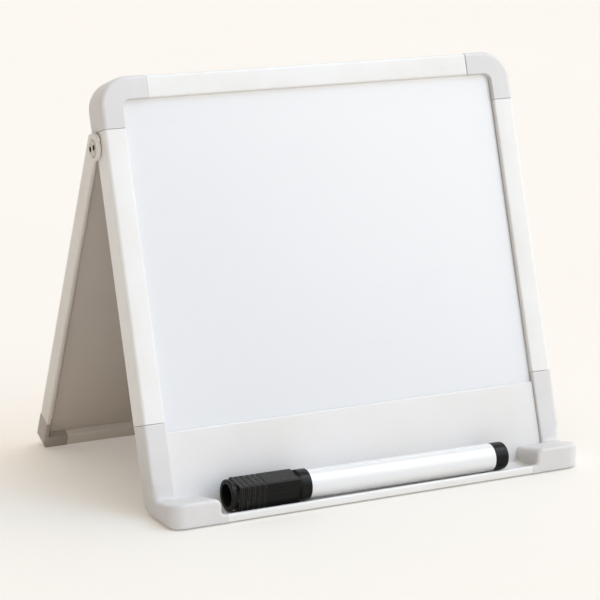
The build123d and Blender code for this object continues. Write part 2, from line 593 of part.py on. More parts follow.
def rear_corner():
    """Left rear corner piece, a little proud of the rails that it joins."""
    upright = rear_side_run(REAR_BOTTOM - CORNER_PROUD, REAR_SIDE_END, CORNER_PROUD)
    sill = rear_sill_run(-REAR_HALF - CORNER_PROUD, -REAR_LOWER_HALF, CORNER_PROUD)
    points = [
        (-REAR_HALF - CORNER_PROUD, REAR_BOTTOM - CORNER_PROUD),
        (-REAR_LOWER_HALF, REAR_BOTTOM - CORNER_PROUD),
        (-REAR_LOWER_HALF, REAR_SIDE_END), (-REAR_HALF - CORNER_PROUD, REAR_SIDE_END),
    ]
    outline = rounded_face(points, {0: REAR_CORNER_ROUND})
    room = REAR * Pos(0, 0, 2 * REAR_BACK) * extrude(outline, 4 * REAR_DEPTH)
    piece = (upright + sill) & room
    return above_desk(piece - rear_board_room())


def rear_board_room():
    """Room of the rear board stack with its edge play."""
    low = REAR_BOTTOM + REAR_SILL
    return block(REAR, (-REAR_BOARD_HALF - BOARD_GAP, REAR_BOARD_HALF + BOARD_GAP),
                 (low, -REAR_TOP_DROP), (REAR_SEAT, REAR_BOARD_INNER))


# ---------------------------------------------------------------- hinge hardware
def hinge_cylinder(radius, start, end, across=0.0):
    """Cylinder about the hinge axis, optionally beside it along the front panel's depth."""
    return axis_cylinder(FRONT, radius, start, end, HINGE_SLOPE, -HINGE_DEPTH + across)


def hinge_screw():
    """Left shoulder screw with a low round head and two spanner holes."""
    under_head = -REAR_HALF + HEAD_SEAT_DEPTH - HEAD_GAP
    top = under_head - SCREW_HEAD_THICK
    head = hinge_cylinder(SCREW_HEAD_RADIUS, top, under_head)
    rim = head.edges().filter_by(GeomType.CIRCLE).sort_by(Axis.X)[0]
    head = fillet(rim, SCREW_HEAD_THICK / 2)
    for side in (-1, 1):
        head -= hinge_cylinder(SPANNER_HOLE_RADIUS, top - 1, under_head - SCREW_HEAD_THICK / 3,
                               side * SPANNER_HOLE_OFFSET)
    shoulder = hinge_cylinder(SHOULDER_RADIUS, under_head, -RAIL_HALF)
    thread = hinge_cylinder(THREAD_RADIUS, -RAIL_HALF, -RAIL_HALF + THREAD_LENGTH)
    return head + shoulder + thread


def hinge_insert():
    """Left threaded insert in the hinge lug."""
    body = hinge_cylinder(INSERT_RADIUS, -RAIL_HALF, -RAIL_HALF + INSERT_LENGTH)
    return body - hinge_cylinder(THREAD_RADIUS + THREAD_GAP, -RAIL_HALF - 1, RAIL_HALF)


def hinge_washer():
    """Left thrust washer between the hinge lug and the lobe."""
    slack = (REAR_INNER_HALF - RAIL_HALF - WASHER_THICK) / 2
    start = -REAR_INNER_HALF + slack
    ring = hinge_cylinder(WASHER_RADIUS, start, start + WASHER_THICK)
    return ring - hinge_cylinder(SHOULDER_RADIUS + SHOULDER_GAP, start - 1, start + 1)


# ---------------------------------------------------------------- marker
def marker_rod(radius, start, end):
    """Round length of the marker between two stations from its cap end."""
    return MARKER * Pos(0, 0, (start + end) / 2) * Cylinder(radius, end - start)


def end_edge(part, station):
    """Largest round edge of a marker piece at a station."""
    edges = [edge for edge in part.edges().filter_by(GeomType.CIRCLE)
             if abs(MARKER.to_local_coords(edge.center()).Z - station) < 0.01]
    return max(edges, key=lambda edge: edge.radius)


def marker_barrel():
    tube = marker_rod(BARREL_RADIUS, SHOULDER_STATION, BARREL_END)
    collar = marker_rod(COLLAR_RADIUS, COLLAR_STATION, SHOULDER_STATION)
    wide_bore = marker_rod(BARREL_RADIUS - BARREL_WALL, SHOULDER_STATION + BARREL_WALL, BARREL_END)
    front_bore = marker_rod(GRIP_RADIUS, COLLAR_STATION, SHOULDER_STATION + BARREL_WALL)
    return tube + collar - wide_bore - front_bore


def marker_plug():
    cup = marker_rod(BARREL_RADIUS, BARREL_END, MARKER_LENGTH)
    cup = fillet(end_edge(cup, MARKER_LENGTH), PLUG_ROUND)
    stem_radius = BARREL_RADIUS - BARREL_WALL - EASY_GAP / 2
    return cup + marker_rod(stem_radius, BARREL_END - PLUG_STEM, BARREL_END)


def nib_holder():
    """Tapered grip in front of the barrel, with a stem inside it and a bore for the nib."""
    cone = MARKER * Pos(0, 0, (GRIP_STATION + COLLAR_STATION) / 2) * Cone(
        GRIP_TIP_RADIUS, GRIP_RADIUS, GRIP_LENGTH)
    stem = marker_rod(GRIP_RADIUS - EASY_GAP / 2, COLLAR_STATION, COLLAR_STATION + GRIP_STEM)
    bore = marker_rod(NIB_RADIUS, GRIP_STATION, COLLAR_STATION + GRIP_STEM)
    return cone + stem - bore


def nib():
    rod = marker_rod(NIB_RADIUS, NIB_TIP_STATION, GRIP_STATION + NIB_ROOT)
    return fillet(end_edge(rod, NIB_TIP_STATION), NIB_RADIUS * 0.7)


def ink_reservoir():
    start = COLLAR_STATION + GRIP_STEM + EASY_GAP
    return marker_rod(RESERVOIR_RADIUS, start, BARREL_END - PLUG_STEM - RESERVOIR_END_GAP)


def square_rod(side, start, end):
    """Rounded square length of the cap between two stations."""
    outline = RectangleRounded(side, side, CAP_SQUARE_ROUND)
    return MARKER * Pos(0, 0, start) * Rot(0, 0, CAP_ROLL) * extrude(outline, end - start)


def cap_shell():
    """Marker cap: eraser ring, neck, grooved square grip and round skirt."""
    neck_end = CAP_RING_LENGTH + CAP_NECK_LENGTH
    ring = marker_rod(CAP_ROUND_RADIUS, 0, CAP_RING_LENGTH)
    for station in (0, CAP_RING_LENGTH):
        ring = fillet(end_edge(ring, station), CAP_RING_LENGTH / 3)
    skirt = marker_rod(CAP_ROUND_RADIUS, CAP_SKIRT_START, CAP_LENGTH)
    for station in (CAP_SKIRT_START, CAP_LENGTH):
        skirt = fillet(end_edge(skirt, station), CAP_SKIRT_LENGTH / 10)
    grip = square_rod(CAP_SQUARE, neck_end, CAP_SKIRT_START)
    ends = grip.faces().sort_by(Axis.X)
    grip = chamfer(ends[0].edges() + ends[-1].edges(), CAP_GROOVE_DEPTH)
    for count in range(CAP_GROOVES):
        start = neck_end + CAP_GROOVE_START + count * CAP_GROOVE_PITCH
        band = square_rod(2 * CAP_SQUARE, start, start + CAP_GROOVE_WIDTH)
        grip -= band - square_rod(CAP_SQUARE - 2 * CAP_GROOVE_DEPTH, start, start + CAP_GROOVE_WIDTH)
    solid = ring + marker_rod(CAP_NECK_RADIUS, CAP_RING_LENGTH, neck_end) + grip + skirt
    eraser_seat = marker_rod(CAP_RING_BORE, -1, CAP_RING_BORE_DEPTH)
    chamber = marker_rod(GRIP_RADIUS + EASY_GAP * 2, CAP_RING_BORE_DEPTH + CAP_FLOOR, CAP_LENGTH)
    mouth = marker_rod(COLLAR_RADIUS + CAP_FIT_GAP, COLLAR_STATION - EASY_GAP, CAP_LENGTH + 1)
    return solid - eraser_seat - chamber - mouth


def cap_eraser():
    """Felt pad at the bottom of the cap's ring."""
    return marker_rod(CAP_RING_BORE - ERASER_GAP, CAP_RING_BORE_DEPTH - ERASER_THICK,
                      CAP_RING_BORE_DEPTH)


# ---------------------------------------------------------------- the easel
def all_parts():
    """Every node of the easel by name, before it is moved to its origin."""
    parts = {
        "front_top_rail": top_rail(),
        "front_tray_rail": tray_rail(),
        "lower_band": lower_band(),
        **front_boards(),
        "rear_top_rail": rear_top_rail(),
        "rear_bottom_rail": rear_bottom_rail(),
        **rear_boards(),
        "marker_barrel": marker_barrel(),
        "marker_end_plug": marker_plug(),
        "marker_ink_reservoir": ink_reservoir(),
        "marker_nib_holder": nib_holder(),
        "marker_nib": nib(),
        "cap_shell": cap_shell(),
        "cap_eraser_felt": cap_eraser(),
    }
    handed = {
        "front_{}_rail": side_rail(),
        "front_corner_top_{}": top_cap(),
        "front_corner_bottom_{}": bottom_corner(),
        "rear_{}_rail": rear_side_rail(),
        "rear_corner_{}": rear_corner(),
        "hinge_screw_{}": hinge_screw(),
        "hinge_insert_{}": hinge_insert(),
        "hinge_washer_{}": hinge_washer(),
    }
    for pattern, left in handed.items():
        parts[pattern.format("left")] = left
        parts[pattern.format("right")] = mirrored(left)
    return parts


def to_bottom_centre(parts):
    """Move that puts the bottom centre of all the parts together at the origin."""
    boxes = [part.bounding_box() for part in parts]
    front = min(box.min.Y for box in boxes)
    back = max(box.max.Y for box in boxes)
    return Pos(0, -(front + back) / 2, -min(box.min.Z for box in boxes))


easel = all_parts()
to_origin = to_bottom_centre(easel.values())
os.makedirs("parts", exist_ok=True)
for node, part in easel.items():
    export_step(to_origin * part, f"parts/{node}.step")
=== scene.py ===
import bpy
import bmesh
import json
from math import cos, pi, radians, sin
from mathutils import Matrix, Vector, noise


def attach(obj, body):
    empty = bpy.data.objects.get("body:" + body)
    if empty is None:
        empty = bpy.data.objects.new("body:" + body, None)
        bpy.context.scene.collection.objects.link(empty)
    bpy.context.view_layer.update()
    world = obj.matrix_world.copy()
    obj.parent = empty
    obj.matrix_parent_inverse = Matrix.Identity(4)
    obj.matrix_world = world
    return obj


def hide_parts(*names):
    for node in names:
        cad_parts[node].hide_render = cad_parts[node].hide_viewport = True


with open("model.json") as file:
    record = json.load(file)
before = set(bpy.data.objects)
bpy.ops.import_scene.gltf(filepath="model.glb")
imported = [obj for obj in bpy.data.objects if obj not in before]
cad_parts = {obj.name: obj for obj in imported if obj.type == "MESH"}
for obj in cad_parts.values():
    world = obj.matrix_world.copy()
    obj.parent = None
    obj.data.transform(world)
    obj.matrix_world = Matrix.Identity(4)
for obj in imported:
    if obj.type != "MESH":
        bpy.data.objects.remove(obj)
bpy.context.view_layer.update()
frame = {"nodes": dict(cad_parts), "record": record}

# A folding desk whiteboard with a pen tray and a capped marker.
# Everything is in metres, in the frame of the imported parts: X runs across the easel,
# Y runs back and Z up, and the floor is Z = 0.

MM = 0.001

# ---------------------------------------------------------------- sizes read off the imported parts
FRONT_EDGE = -73.882 * MM       # front of the tray's lip
OUTER_HALF = 100.2 * MM         # middle plane to the outside of a corner piece
WINDOW_HALF = 90.2 * MM         # middle plane to a front side rail's inner edge
REAR_WINDOW_HALF = 92.6 * MM    # middle plane to a rear side rail's inner edge
BRACKET_END = 77.0 * MM         # middle plane to a tray end bracket
BRACKET_TOP = 9.5 * MM          # height of a bracket's top
BAND_FACE_DEPTH = 1.2 * MM      # how far the band's face lies behind the rails'
CORNER_SEAM_SLOPE = 40.5 * MM   # bottom corner piece's upper end, measured up the panel's slope
SCREW_PIT_HALF = 101.98 * MM    # middle plane to where painted shade begins in a screw's spanner holes
PANEL_FOOT = Vector((0, -58.882, 0)) * MM   # where the plane of the front face meets the desk
PANEL_LEAN = radians(17)
UP_SLOPE = Vector((0, sin(PANEL_LEAN), cos(PANEL_LEAN)))
INTO_PANEL = Vector((0, cos(PANEL_LEAN), -sin(PANEL_LEAN)))
MARKER_SLOPE = 0.0072763        # the marker lies this far off level, in radians
RING_END = Vector((-71.0, -65.182, 9.3205)) * MM   # middle of the cap's ring end


# ---------------------------------------------------------------- colours
def tone(red, green, blue):
    """Linear colour of a paint swatch given in 0-255 steps."""
    def linear(step):
        share = step / 255
        return share / 12.92 if share <= 0.04045 else ((share + 0.055) / 1.055) ** 2.4
    return (linear(red), linear(green), linear(blue), 1.0)


RAIL_WHITE = tone(243, 242, 240)
RAIL_SHADE = tone(234, 231, 226)
MOULDING_GREY = tone(226, 224, 223)
MOULDING_SHADE = tone(216, 212, 209)
# Painted shade: the rear frame, rear corners and rear board are darker and warmer copies of the front's
# colours.
REAR_WHITE_SHADED = tone(235, 231, 226)
REAR_SHADE = tone(225, 219, 212)
REAR_GREY_SHADED = tone(182, 175, 169)
REAR_GREY_SHADE = tone(172, 164, 157)
REAR_ENAMEL_SHADED = tone(224, 218, 212)
REAR_ENAMEL_WARM_SHADED = tone(220, 213, 206)
ENAMEL_WHITE = tone(237, 238, 240)
ENAMEL_COOL = tone(233, 234, 237)
# Painted shade: the dark line where the board meets the side rails.
JOINT_PAINTED_SHADE = tone(148, 148, 150)
BAND_WHITE = tone(238, 236, 235)
# Painted shade: the backing is darker and warmer than its white, for the shade inside the stand.
BACKING_SHADED_WHITE = tone(217, 210, 203)
BACKING_SHADE = tone(211, 203, 196)
# Edges whitened for wear and for a painted highlight.
EDGE_WEAR_AND_HIGHLIGHT_WHITE = tone(252, 252, 252)
INK_GHOST = tone(214, 219, 226)
DUST = tone(176, 168, 158)
FIBRE_BROWN = tone(166, 136, 104)
FIBRE_DARK = tone(128, 98, 70)
STEEL = tone(194, 187, 177)
STEEL_DARK = tone(92, 87, 80)
RUBBED_METAL = tone(240, 239, 236)
# Painted shade in the screws' shallow spanner holes.
PIT_PAINTED_SHADE = tone(24, 22, 20)
BRASS = tone(205, 170, 96)
BRASS_DARK = tone(150, 118, 60)
NYLON = tone(236, 232, 222)
CAP_BLACK = tone(22, 21, 20)
CAP_SHADE = tone(28, 27, 26)
# Grey on the cap's edges: wear and a painted highlight.
CAP_WEAR_AND_HIGHLIGHT_GREY = tone(112, 111, 109)
BARREL_WHITE = tone(240, 240, 241)
FELT_BLACK = tone(34, 34, 36)
FELT_GREY = tone(70, 70, 72)
FLOOR_WARM = tone(251, 247, 240)
FLOOR_COOL = tone(247, 243, 236)


# ---------------------------------------------------------------- node helpers
NODE_STEP = 200                 # spacing of a tree's nodes in the editor
NODES_TO_LEFT = 40              # a tree's first node stands this many steps left of its shader
MIX_SHARE, MIX_FIRST, MIX_SECOND, MIX_COLOUR = 0, 6, 7, 2   # the Mix node's colour sockets


def fill(tree, node, inputs):
    """Feeds a node's inputs, each from another node's output or with a plain value."""
    for name, given in inputs.items():
        if isinstance(given, bpy.types.NodeSocket):
            tree.links.new(given, node.inputs[name])
        else:
            node.inputs[name].default_value = given


def add(tree, kind, settings=None, inputs=None):
    """New shader node, to the right of the last one, with its settings and inputs."""
    made = tree.nodes.new(kind)
    made.location = (NODE_STEP * (len(tree.nodes) - NODES_TO_LEFT), 0)
    for name, value in (settings or {}).items():
        setattr(made, name, value)
    fill(tree, made, inputs or {})
    return made


def calculate(tree, operation, *operands, clamp=False):
    """Result of a sum on plain values or other nodes' outputs."""
    made = add(tree, "ShaderNodeMath", {"operation": operation, "use_clamp": clamp},
               dict(enumerate(operands)))
    return made.outputs["Value"]


def alignment(tree, first, second):
    """Dot product of two directions."""
    made = add(tree, "ShaderNodeVectorMath", {"operation": "DOT_PRODUCT"}, {0: first, 1: second})
    return made.outputs["Value"]


def ranged(tree, source, low, high, bottom=0.0, top=1.0, curve="LINEAR"):
    """Value taken from the range low to high into bottom to top, and held at both ends."""
    made = add(tree, "ShaderNodeMapRange", {"interpolation_type": curve},
               {"Value": source, "From Min": low, "From Max": high, "To Min": bottom, "To Max": top})
    return made.outputs["Result"]


def object_place(tree):
    return add(tree, "ShaderNodeTexCoord").outputs["Object"]


def surface_normal(tree):
    return add(tree, "ShaderNodeNewGeometry").outputs["Normal"]


def axis_share(tree, vector, axis):
    """One coordinate of a vector."""
    return add(tree, "ShaderNodeSeparateXYZ", None, {"Vector": vector}).outputs[axis]


def drawn_out(tree, place, scale, turn=(0, 0, 0)):
    """Place turned and stretched, for a pattern with a direction."""
    made = add(tree, "ShaderNodeMapping", None, {"Vector": place, "Rotation": turn, "Scale": scale})
    return made.outputs["Vector"]


def clouds(tree, place, scale, detail, roughness=0.5, distortion=0.0):
    """Soft noise, mostly between 0.3 and 0.7."""
    made = add(tree, "ShaderNodeTexNoise", None,
               {"Vector": place, "Scale": scale, "Detail": detail, "Roughness": roughness,
                "Distortion": distortion})
    return made.outputs["Fac"]


def cells(tree, place, scale, feature="F1"):
    """Distance to the nearest of scattered points, or to the edges between them."""
    made = add(tree, "ShaderNodeTexVoronoi", {"feature": feature}, {"Vector": place, "Scale": scale})
    return made.outputs["Distance"]


def colour_mix(tree, first, second, share):
    """Colour between two: the second takes the share."""
    made = add(tree, "ShaderNodeMix", {"data_type": "RGBA"},
               {MIX_SHARE: share, MIX_FIRST: first, MIX_SECOND: second})
    return made.outputs[MIX_COLOUR]


def relief(tree, height, strength, depth, normal=None):
    """Normal with a fine relief on it."""
    inputs = {"Height": height, "Strength": strength, "Distance": depth}
    if normal is not None:
        inputs["Normal"] = normal
    return add(tree, "ShaderNodeBump", None, inputs).outputs["Normal"]


# ---------------------------------------------------------------- shared effects
FLOAT, VECTOR = "NodeSocketFloat", "NodeSocketVector"


def effect_group(name, inputs, outputs):
    """Node tree of a new shared effect, and what the effect is given."""
    tree = bpy.data.node_groups.new(name, "ShaderNodeTree")
    for label, kind, value in inputs:
        socket = tree.interface.new_socket(label, in_out="INPUT", socket_type=kind)
        socket.default_value = value
    for label, kind in outputs:
        tree.interface.new_socket(label, in_out="OUTPUT", socket_type=kind)
    return tree, add(tree, "NodeGroupInput").outputs


def put_out(tree, results):
    """Ends a shared effect with its results."""
    add(tree, "NodeGroupOutput", None, results)
    return tree


def drawn_grain_group():
    """Long die lines and fine pits of extruded or moulded plastic, as a height from 0 to 1."""
    tree, given = effect_group(
        "drawn_grain",
        [("Stretch", VECTOR, (1, 1, 1)), ("Line Scale", FLOAT, 900), ("Pit Scale", FLOAT, 2600)],
        [("Height", FLOAT), ("Patches", FLOAT)])
    place = object_place(tree)
    stretched = add(tree, "ShaderNodeVectorMath", {"operation": "MULTIPLY"},
                    {0: place, 1: given["Stretch"]}).outputs["Vector"]
    lines = clouds(tree, stretched, scale=given["Line Scale"], detail=3, roughness=0.6)
    pits = clouds(tree, place, scale=given["Pit Scale"], detail=2, roughness=0.7)
    line_weight = 0.55
    pitted = calculate(tree, "MULTIPLY", pits, 1 - line_weight)
    height = calculate(tree, "MULTIPLY_ADD", lines, line_weight, pitted)
    patches = clouds(tree, place, scale=38, detail=3, roughness=0.55)
    return put_out(tree, {"Height": height, "Patches": patches})


def edge_wear_and_highlight_group():
    """Mask that is 1 along outer edges, broken up where hands rub less, and the eased normal; it marks
    wear and painted edge highlights.
    """
    tree, given = effect_group(
        "edge_wear_and_highlight", [("Radius", FLOAT, 0.4 * MM), ("Break Up", FLOAT, 420)],
        [("Mask", FLOAT), ("Normal", VECTOR)])
    eased = add(tree, "ShaderNodeBevel", {"samples": 4}, {"Radius": given["Radius"]}).outputs["Normal"]
    agreement = alignment(tree, eased, surface_normal(tree))
    edge = ranged(tree, agreement, low=0.995, high=0.86)
    rub = clouds(tree, object_place(tree), scale=given["Break Up"], detail=4, roughness=0.7)
    broken = ranged(tree, rub, low=0.35, high=0.65, bottom=0.15)
    mask = calculate(tree, "MULTIPLY", edge, broken, clamp=True)
    return put_out(tree, {"Mask": mask, "Normal": eased})


def settled_dust_group():
    """Thin dust on what faces up, in specks and soft drifts."""
    tree, given = effect_group(
        "settled_dust", [("Amount", FLOAT, 0.2), ("Speck Scale", FLOAT, 1500)], [("Mask", FLOAT)])
    upward = ranged(tree, axis_share(tree, surface_normal(tree), "Z"), low=0.35, high=1.0)
    place = object_place(tree)
    specks = cells(tree, place, scale=given["Speck Scale"])
    dots = ranged(tree, specks, low=0.16, high=0.06)
    drift = clouds(tree, place, scale=120, detail=5, roughness=0.65)
    cover = ranged(tree, drift, low=0.45, high=0.75, bottom=0.1, top=0.8)
    lying = calculate(tree, "MULTIPLY", calculate(tree, "MAXIMUM", dots, cover), upward)
    mask = calculate(tree, "MULTIPLY", lying, given["Amount"], clamp=True)
    return put_out(tree, {"Mask": mask})


def handling_group():
    """Change of gloss where fingers and cloths have been, from 0 to 1."""
    tree, given = effect_group(
        "handling", [("Smear Scale", FLOAT, 60), ("Scratch Scale", FLOAT, 500)],
        [("Smears", FLOAT), ("Scratches", FLOAT)])
    place = object_place(tree)
    smeared = clouds(tree, place, scale=given["Smear Scale"], detail=4, distortion=1.4)
    thin = drawn_out(tree, place, scale=(1, 0.04, 1), turn=(0.3, 0.9, 0.4))
    to_line = cells(tree, thin, scale=given["Scratch Scale"], feature="DISTANCE_TO_EDGE")
    return put_out(tree, {"Smears": ranged(tree, smeared, low=0.4, high=0.7),
                          "Scratches": ranged(tree, to_line, low=0.03, high=0.0)})


GROUPS = {made.name: made for made in (
    drawn_grain_group(), edge_wear_and_highlight_group(), settled_dust_group(), handling_group())}


def effect(tree, name, values=None):
    """Outputs of a shared effect, placed in a material."""
    return add(tree, "ShaderNodeGroup", {"node_tree": GROUPS[name]}, values).outputs


# ---------------------------------------------------------------- materials
def surface(name):
    """Empty material with the tree to fill and its shader."""
    made = bpy.data.materials.new(name)
    made.use_nodes = True
    tree = made.node_tree
    return made, tree, tree.nodes["Principled BSDF"]


def gloss_range(tree, pattern, smooth, rough):
    """Roughness between two values, by a pattern."""
    return ranged(tree, pattern, low=0.3, high=0.7, bottom=smooth, top=rough)


def white_plastic(name, colour, shade, stretch, smooth=0.30, rough=0.42, grain_depth=0.05 * MM,
                  edge_radius=0.45 * MM, pit_scale=2600, dust=0.25, coat=0.0):
    """Satin white plastic: grain along one direction, edges whitened for wear and a painted highlight, a
    little dust.
    """
    made, tree, shader = surface(name)
    grain = effect(tree, "drawn_grain", {"Stretch": stretch, "Pit Scale": pit_scale})
    edge = effect(tree, "edge_wear_and_highlight", {"Radius": edge_radius})
    dusty = effect(tree, "settled_dust", {"Amount": dust})
    handled = effect(tree, "handling")
    patches = ranged(tree, grain["Patches"], low=0.35, high=0.7, top=0.6)
    base = colour_mix(tree, colour, shade, patches)
    # Edges whitened: wear and a painted highlight.
    worn_and_highlit = colour_mix(tree, base, EDGE_WEAR_AND_HIGHLIGHT_WHITE, edge["Mask"])
    smear_gloss, dust_dulling = -0.07, 0.3
    gloss = gloss_range(tree, grain["Height"], smooth, rough)
    smeared = calculate(tree, "MULTIPLY_ADD", handled["Smears"], smear_gloss, gloss)
    fill(tree, shader, {
        "Base Color": colour_mix(tree, worn_and_highlit, DUST, dusty["Mask"]),
        "Roughness": calculate(tree, "MULTIPLY_ADD", dusty["Mask"], dust_dulling, smeared, clamp=True),
        "Normal": relief(tree, grain["Height"], strength=0.35, depth=grain_depth, normal=edge["Normal"]),
        "IOR": 1.49, "Coat Weight": coat, "Coat Roughness": 0.12,
    })
    return made


def enamel(name, colour, second, joint_at):
    """Glossy dry-wipe enamel on steel, with faint wiped ink, and painted shade in the joint along the
    side rails.
    """
    made, tree, shader = surface(name)
    place = object_place(tree)
    from_middle = calculate(tree, "ABSOLUTE", axis_share(tree, place, "X"))
    # Painted shade in the joint beside the side rails.
    joint_shade = ranged(tree, from_middle, low=joint_at - 0.75 * MM, high=joint_at - 0.4 * MM, top=0.65,
                   curve="SMOOTHSTEP")
    base = colour_mix(tree, colour, second, clouds(tree, place, scale=7, detail=2))
    swirl = drawn_out(tree, place, scale=(9, 9, 42), turn=(0, 0.5, 0))
    wiped = clouds(tree, swirl, scale=1, detail=5, roughness=0.6, distortion=0.8)
    ghost = ranged(tree, wiped, low=0.55, high=0.8, top=0.12)
    inked = colour_mix(tree, base, INK_GHOST, ghost)
    dusty = effect(tree, "settled_dust", {"Amount": 0.15})
    dulled = colour_mix(tree, inked, DUST, dusty["Mask"])
    peel = clouds(tree, place, scale=330, detail=2, roughness=0.4)
    fill(tree, shader, {
        "Base Color": colour_mix(tree, dulled, JOINT_PAINTED_SHADE, joint_shade),
        "Roughness": gloss_range(tree, wiped, smooth=0.07, rough=0.12),
        "Normal": relief(tree, peel, strength=0.06, depth=0.2 * MM),
        "IOR": 1.5, "Coat Weight": 0.5, "Coat Roughness": 0.06,
    })
    return made


def black_plastic(name, stretch, smooth, rough, lift):
    """Semi-gloss black moulding with edges greyed for wear and a painted highlight, hairline scratches
    and dust.
    """
    made, tree, shader = surface(name)
    grain = effect(tree, "drawn_grain", {"Stretch": stretch, "Pit Scale": 4200})
    edge = effect(tree, "edge_wear_and_highlight", {"Radius": 0.35 * MM, "Break Up": 900})
    dusty = effect(tree, "settled_dust", {"Amount": 0.03, "Speck Scale": 2400})
    handled = effect(tree, "handling", {"Smear Scale": 160, "Scratch Scale": 900})
    base = colour_mix(tree, CAP_BLACK, CAP_SHADE, grain["Patches"])
    # Edges greyed: wear and a painted highlight.
    worn_and_highlit = colour_mix(tree, base, CAP_WEAR_AND_HIGHLIGHT_GREY, calculate(tree, "MULTIPLY", edge["Mask"], lift))
    gloss = gloss_range(tree, grain["Height"], smooth, rough)
    scratch_dulling = 0.14
    fill(tree, shader, {
        "Base Color": colour_mix(tree, worn_and_highlit, DUST, dusty["Mask"]),
        "Roughness": calculate(tree, "MULTIPLY_ADD", handled["Scratches"], scratch_dulling, gloss,
                               clamp=True),
        "Normal": relief(tree, grain["Height"], strength=0.3, depth=0.06 * MM, normal=edge["Normal"]),
        "IOR": 1.5, "Specular IOR Level": 0.11,
    })
    return made


def turned_metal(name, colour, second, pit_floor=0.0):
    """Nickel or brass with fine turning lines, and painted shade in pits, where |X| is below pit_floor.
    """
    made, tree, shader = surface(name)
    outward = calculate(tree, "ABSOLUTE", axis_share(tree, object_place(tree), "X"))
    # Painted shade in the spanner holes.
    pit_shade = ranged(tree, outward, low=pit_floor, high=pit_floor - 0.15 * MM)
    grain = effect(tree, "drawn_grain", {"Stretch": (0.15, 1, 1), "Line Scale": 2600})
    edge = effect(tree, "edge_wear_and_highlight", {"Radius": 0.2 * MM, "Break Up": 1600})
    handled = effect(tree, "handling", {"Smear Scale": 500, "Scratch Scale": 2200})
    smear_share = 0.3
    dulled = calculate(tree, "MULTIPLY", handled["Smears"], smear_share)
    base = colour_mix(tree, colour, second, dulled)
    bright = colour_mix(tree, base, RUBBED_METAL, edge["Mask"])
    gloss = gloss_range(tree, grain["Height"], smooth=0.26, rough=0.44)
    fill(tree, shader, {
        "Base Color": colour_mix(tree, bright, PIT_PAINTED_SHADE, pit_shade),
        "Roughness": calculate(tree, "MAXIMUM", gloss, pit_shade),
        "Normal": relief(tree, grain["Height"], strength=0.3, depth=0.05 * MM, normal=edge["Normal"]),
        "Metallic": 0.85,
    })
    return made


def fibrous(name, colour, second, scale, depth, stretch=(1, 1, 1)):
    """Matted fibres, for felt, wadding, the nib and pressed board."""
    made, tree, shader = surface(name)
    drawn = drawn_out(tree, object_place(tree), scale=stretch)
    strands = clouds(tree, drawn, scale=scale, detail=7, roughness=0.75, distortion=2.2)
    flecks = cells(tree, drawn, scale=scale * 2)
    lint = ranged(tree, strands, low=0.4, high=0.68)
    height = calculate(tree, "MULTIPLY", strands, flecks)
    fill(tree, shader, {
        "Base Color": colour_mix(tree, colour, second, lint),
        "Roughness": gloss_range(tree, strands, smooth=0.98, rough=0.8),
        "Normal": relief(tree, height, strength=0.8, depth=depth),
        "Sheen Weight": 0.3,
    })
    return made


ALONG_SLOPE = (1.0, 1.0, 0.03)  # stretch of the grain on upright pieces
ALONG_WIDTH = (0.03, 1.0, 1.0)
EVEN = (1.0, 1.0, 1.0)

FINISHES = {made.name: made for made in (
    white_plastic("upright_rail", RAIL_WHITE, RAIL_SHADE, ALONG_SLOPE),
    white_plastic("cross_rail", RAIL_WHITE, RAIL_SHADE, ALONG_WIDTH),
    white_plastic("moulding", MOULDING_GREY, MOULDING_SHADE, EVEN, smooth=0.36, rough=0.50,
                  grain_depth=0.08 * MM, edge_radius=0.5 * MM, pit_scale=1500),
    white_plastic("band", BAND_WHITE, RAIL_SHADE, ALONG_WIDTH, smooth=0.34, rough=0.44,
                  grain_depth=0.03 * MM, edge_radius=0.3 * MM),
    # Backing: a darker copy of its white, painted shade.
    white_plastic("backing", BACKING_SHADED_WHITE, BACKING_SHADE, EVEN, smooth=0.42, rough=0.55,
                  edge_radius=0.2 * MM, pit_scale=1900),
    white_plastic("washer", NYLON, RAIL_SHADE, EVEN, smooth=0.35, rough=0.5,
                  grain_depth=0.03 * MM, edge_radius=0.1 * MM),
    white_plastic("barrel", BARREL_WHITE, RAIL_WHITE, ALONG_WIDTH, smooth=0.16, rough=0.26,
                  grain_depth=0.02 * MM, edge_radius=0.3 * MM, dust=0.12, coat=0.3),
    # Rear finishes: darker copies of the front's, painted shade.
    white_plastic("rear_rail", REAR_WHITE_SHADED, REAR_SHADE, ALONG_SLOPE, smooth=0.32, rough=0.45),
    white_plastic("rear_cross_rail", REAR_WHITE_SHADED, REAR_SHADE, ALONG_WIDTH, smooth=0.32, rough=0.45),
    white_plastic("rear_moulding", REAR_GREY_SHADED, REAR_GREY_SHADE, EVEN, smooth=0.38, rough=0.52,
                  grain_depth=0.08 * MM, edge_radius=0.5 * MM, pit_scale=1500),
    enamel("writing_face", ENAMEL_WHITE, ENAMEL_COOL, WINDOW_HALF),
    enamel("rear_face", REAR_ENAMEL_SHADED, REAR_ENAMEL_WARM_SHADED, REAR_WINDOW_HALF),
    black_plastic("cap", ALONG_WIDTH, smooth=0.20, rough=0.34, lift=0.9),
    turned_metal("screw", STEEL, STEEL_DARK, SCREW_PIT_HALF),
    turned_metal("insert", BRASS, BRASS_DARK),
    fibrous("pressed_board", FIBRE_BROWN, FIBRE_DARK, scale=260, depth=0.3 * MM),
    fibrous("felt", FELT_BLACK, FELT_GREY, scale=900, depth=0.4 * MM),
    fibrous("wadding", FELT_GREY, FELT_BLACK, scale=500, depth=0.3 * MM, stretch=(0.1, 1, 1)),
    fibrous("nib", FELT_BLACK, FELT_GREY, scale=1600, depth=0.1 * MM, stretch=(0.2, 1, 1)),
)}

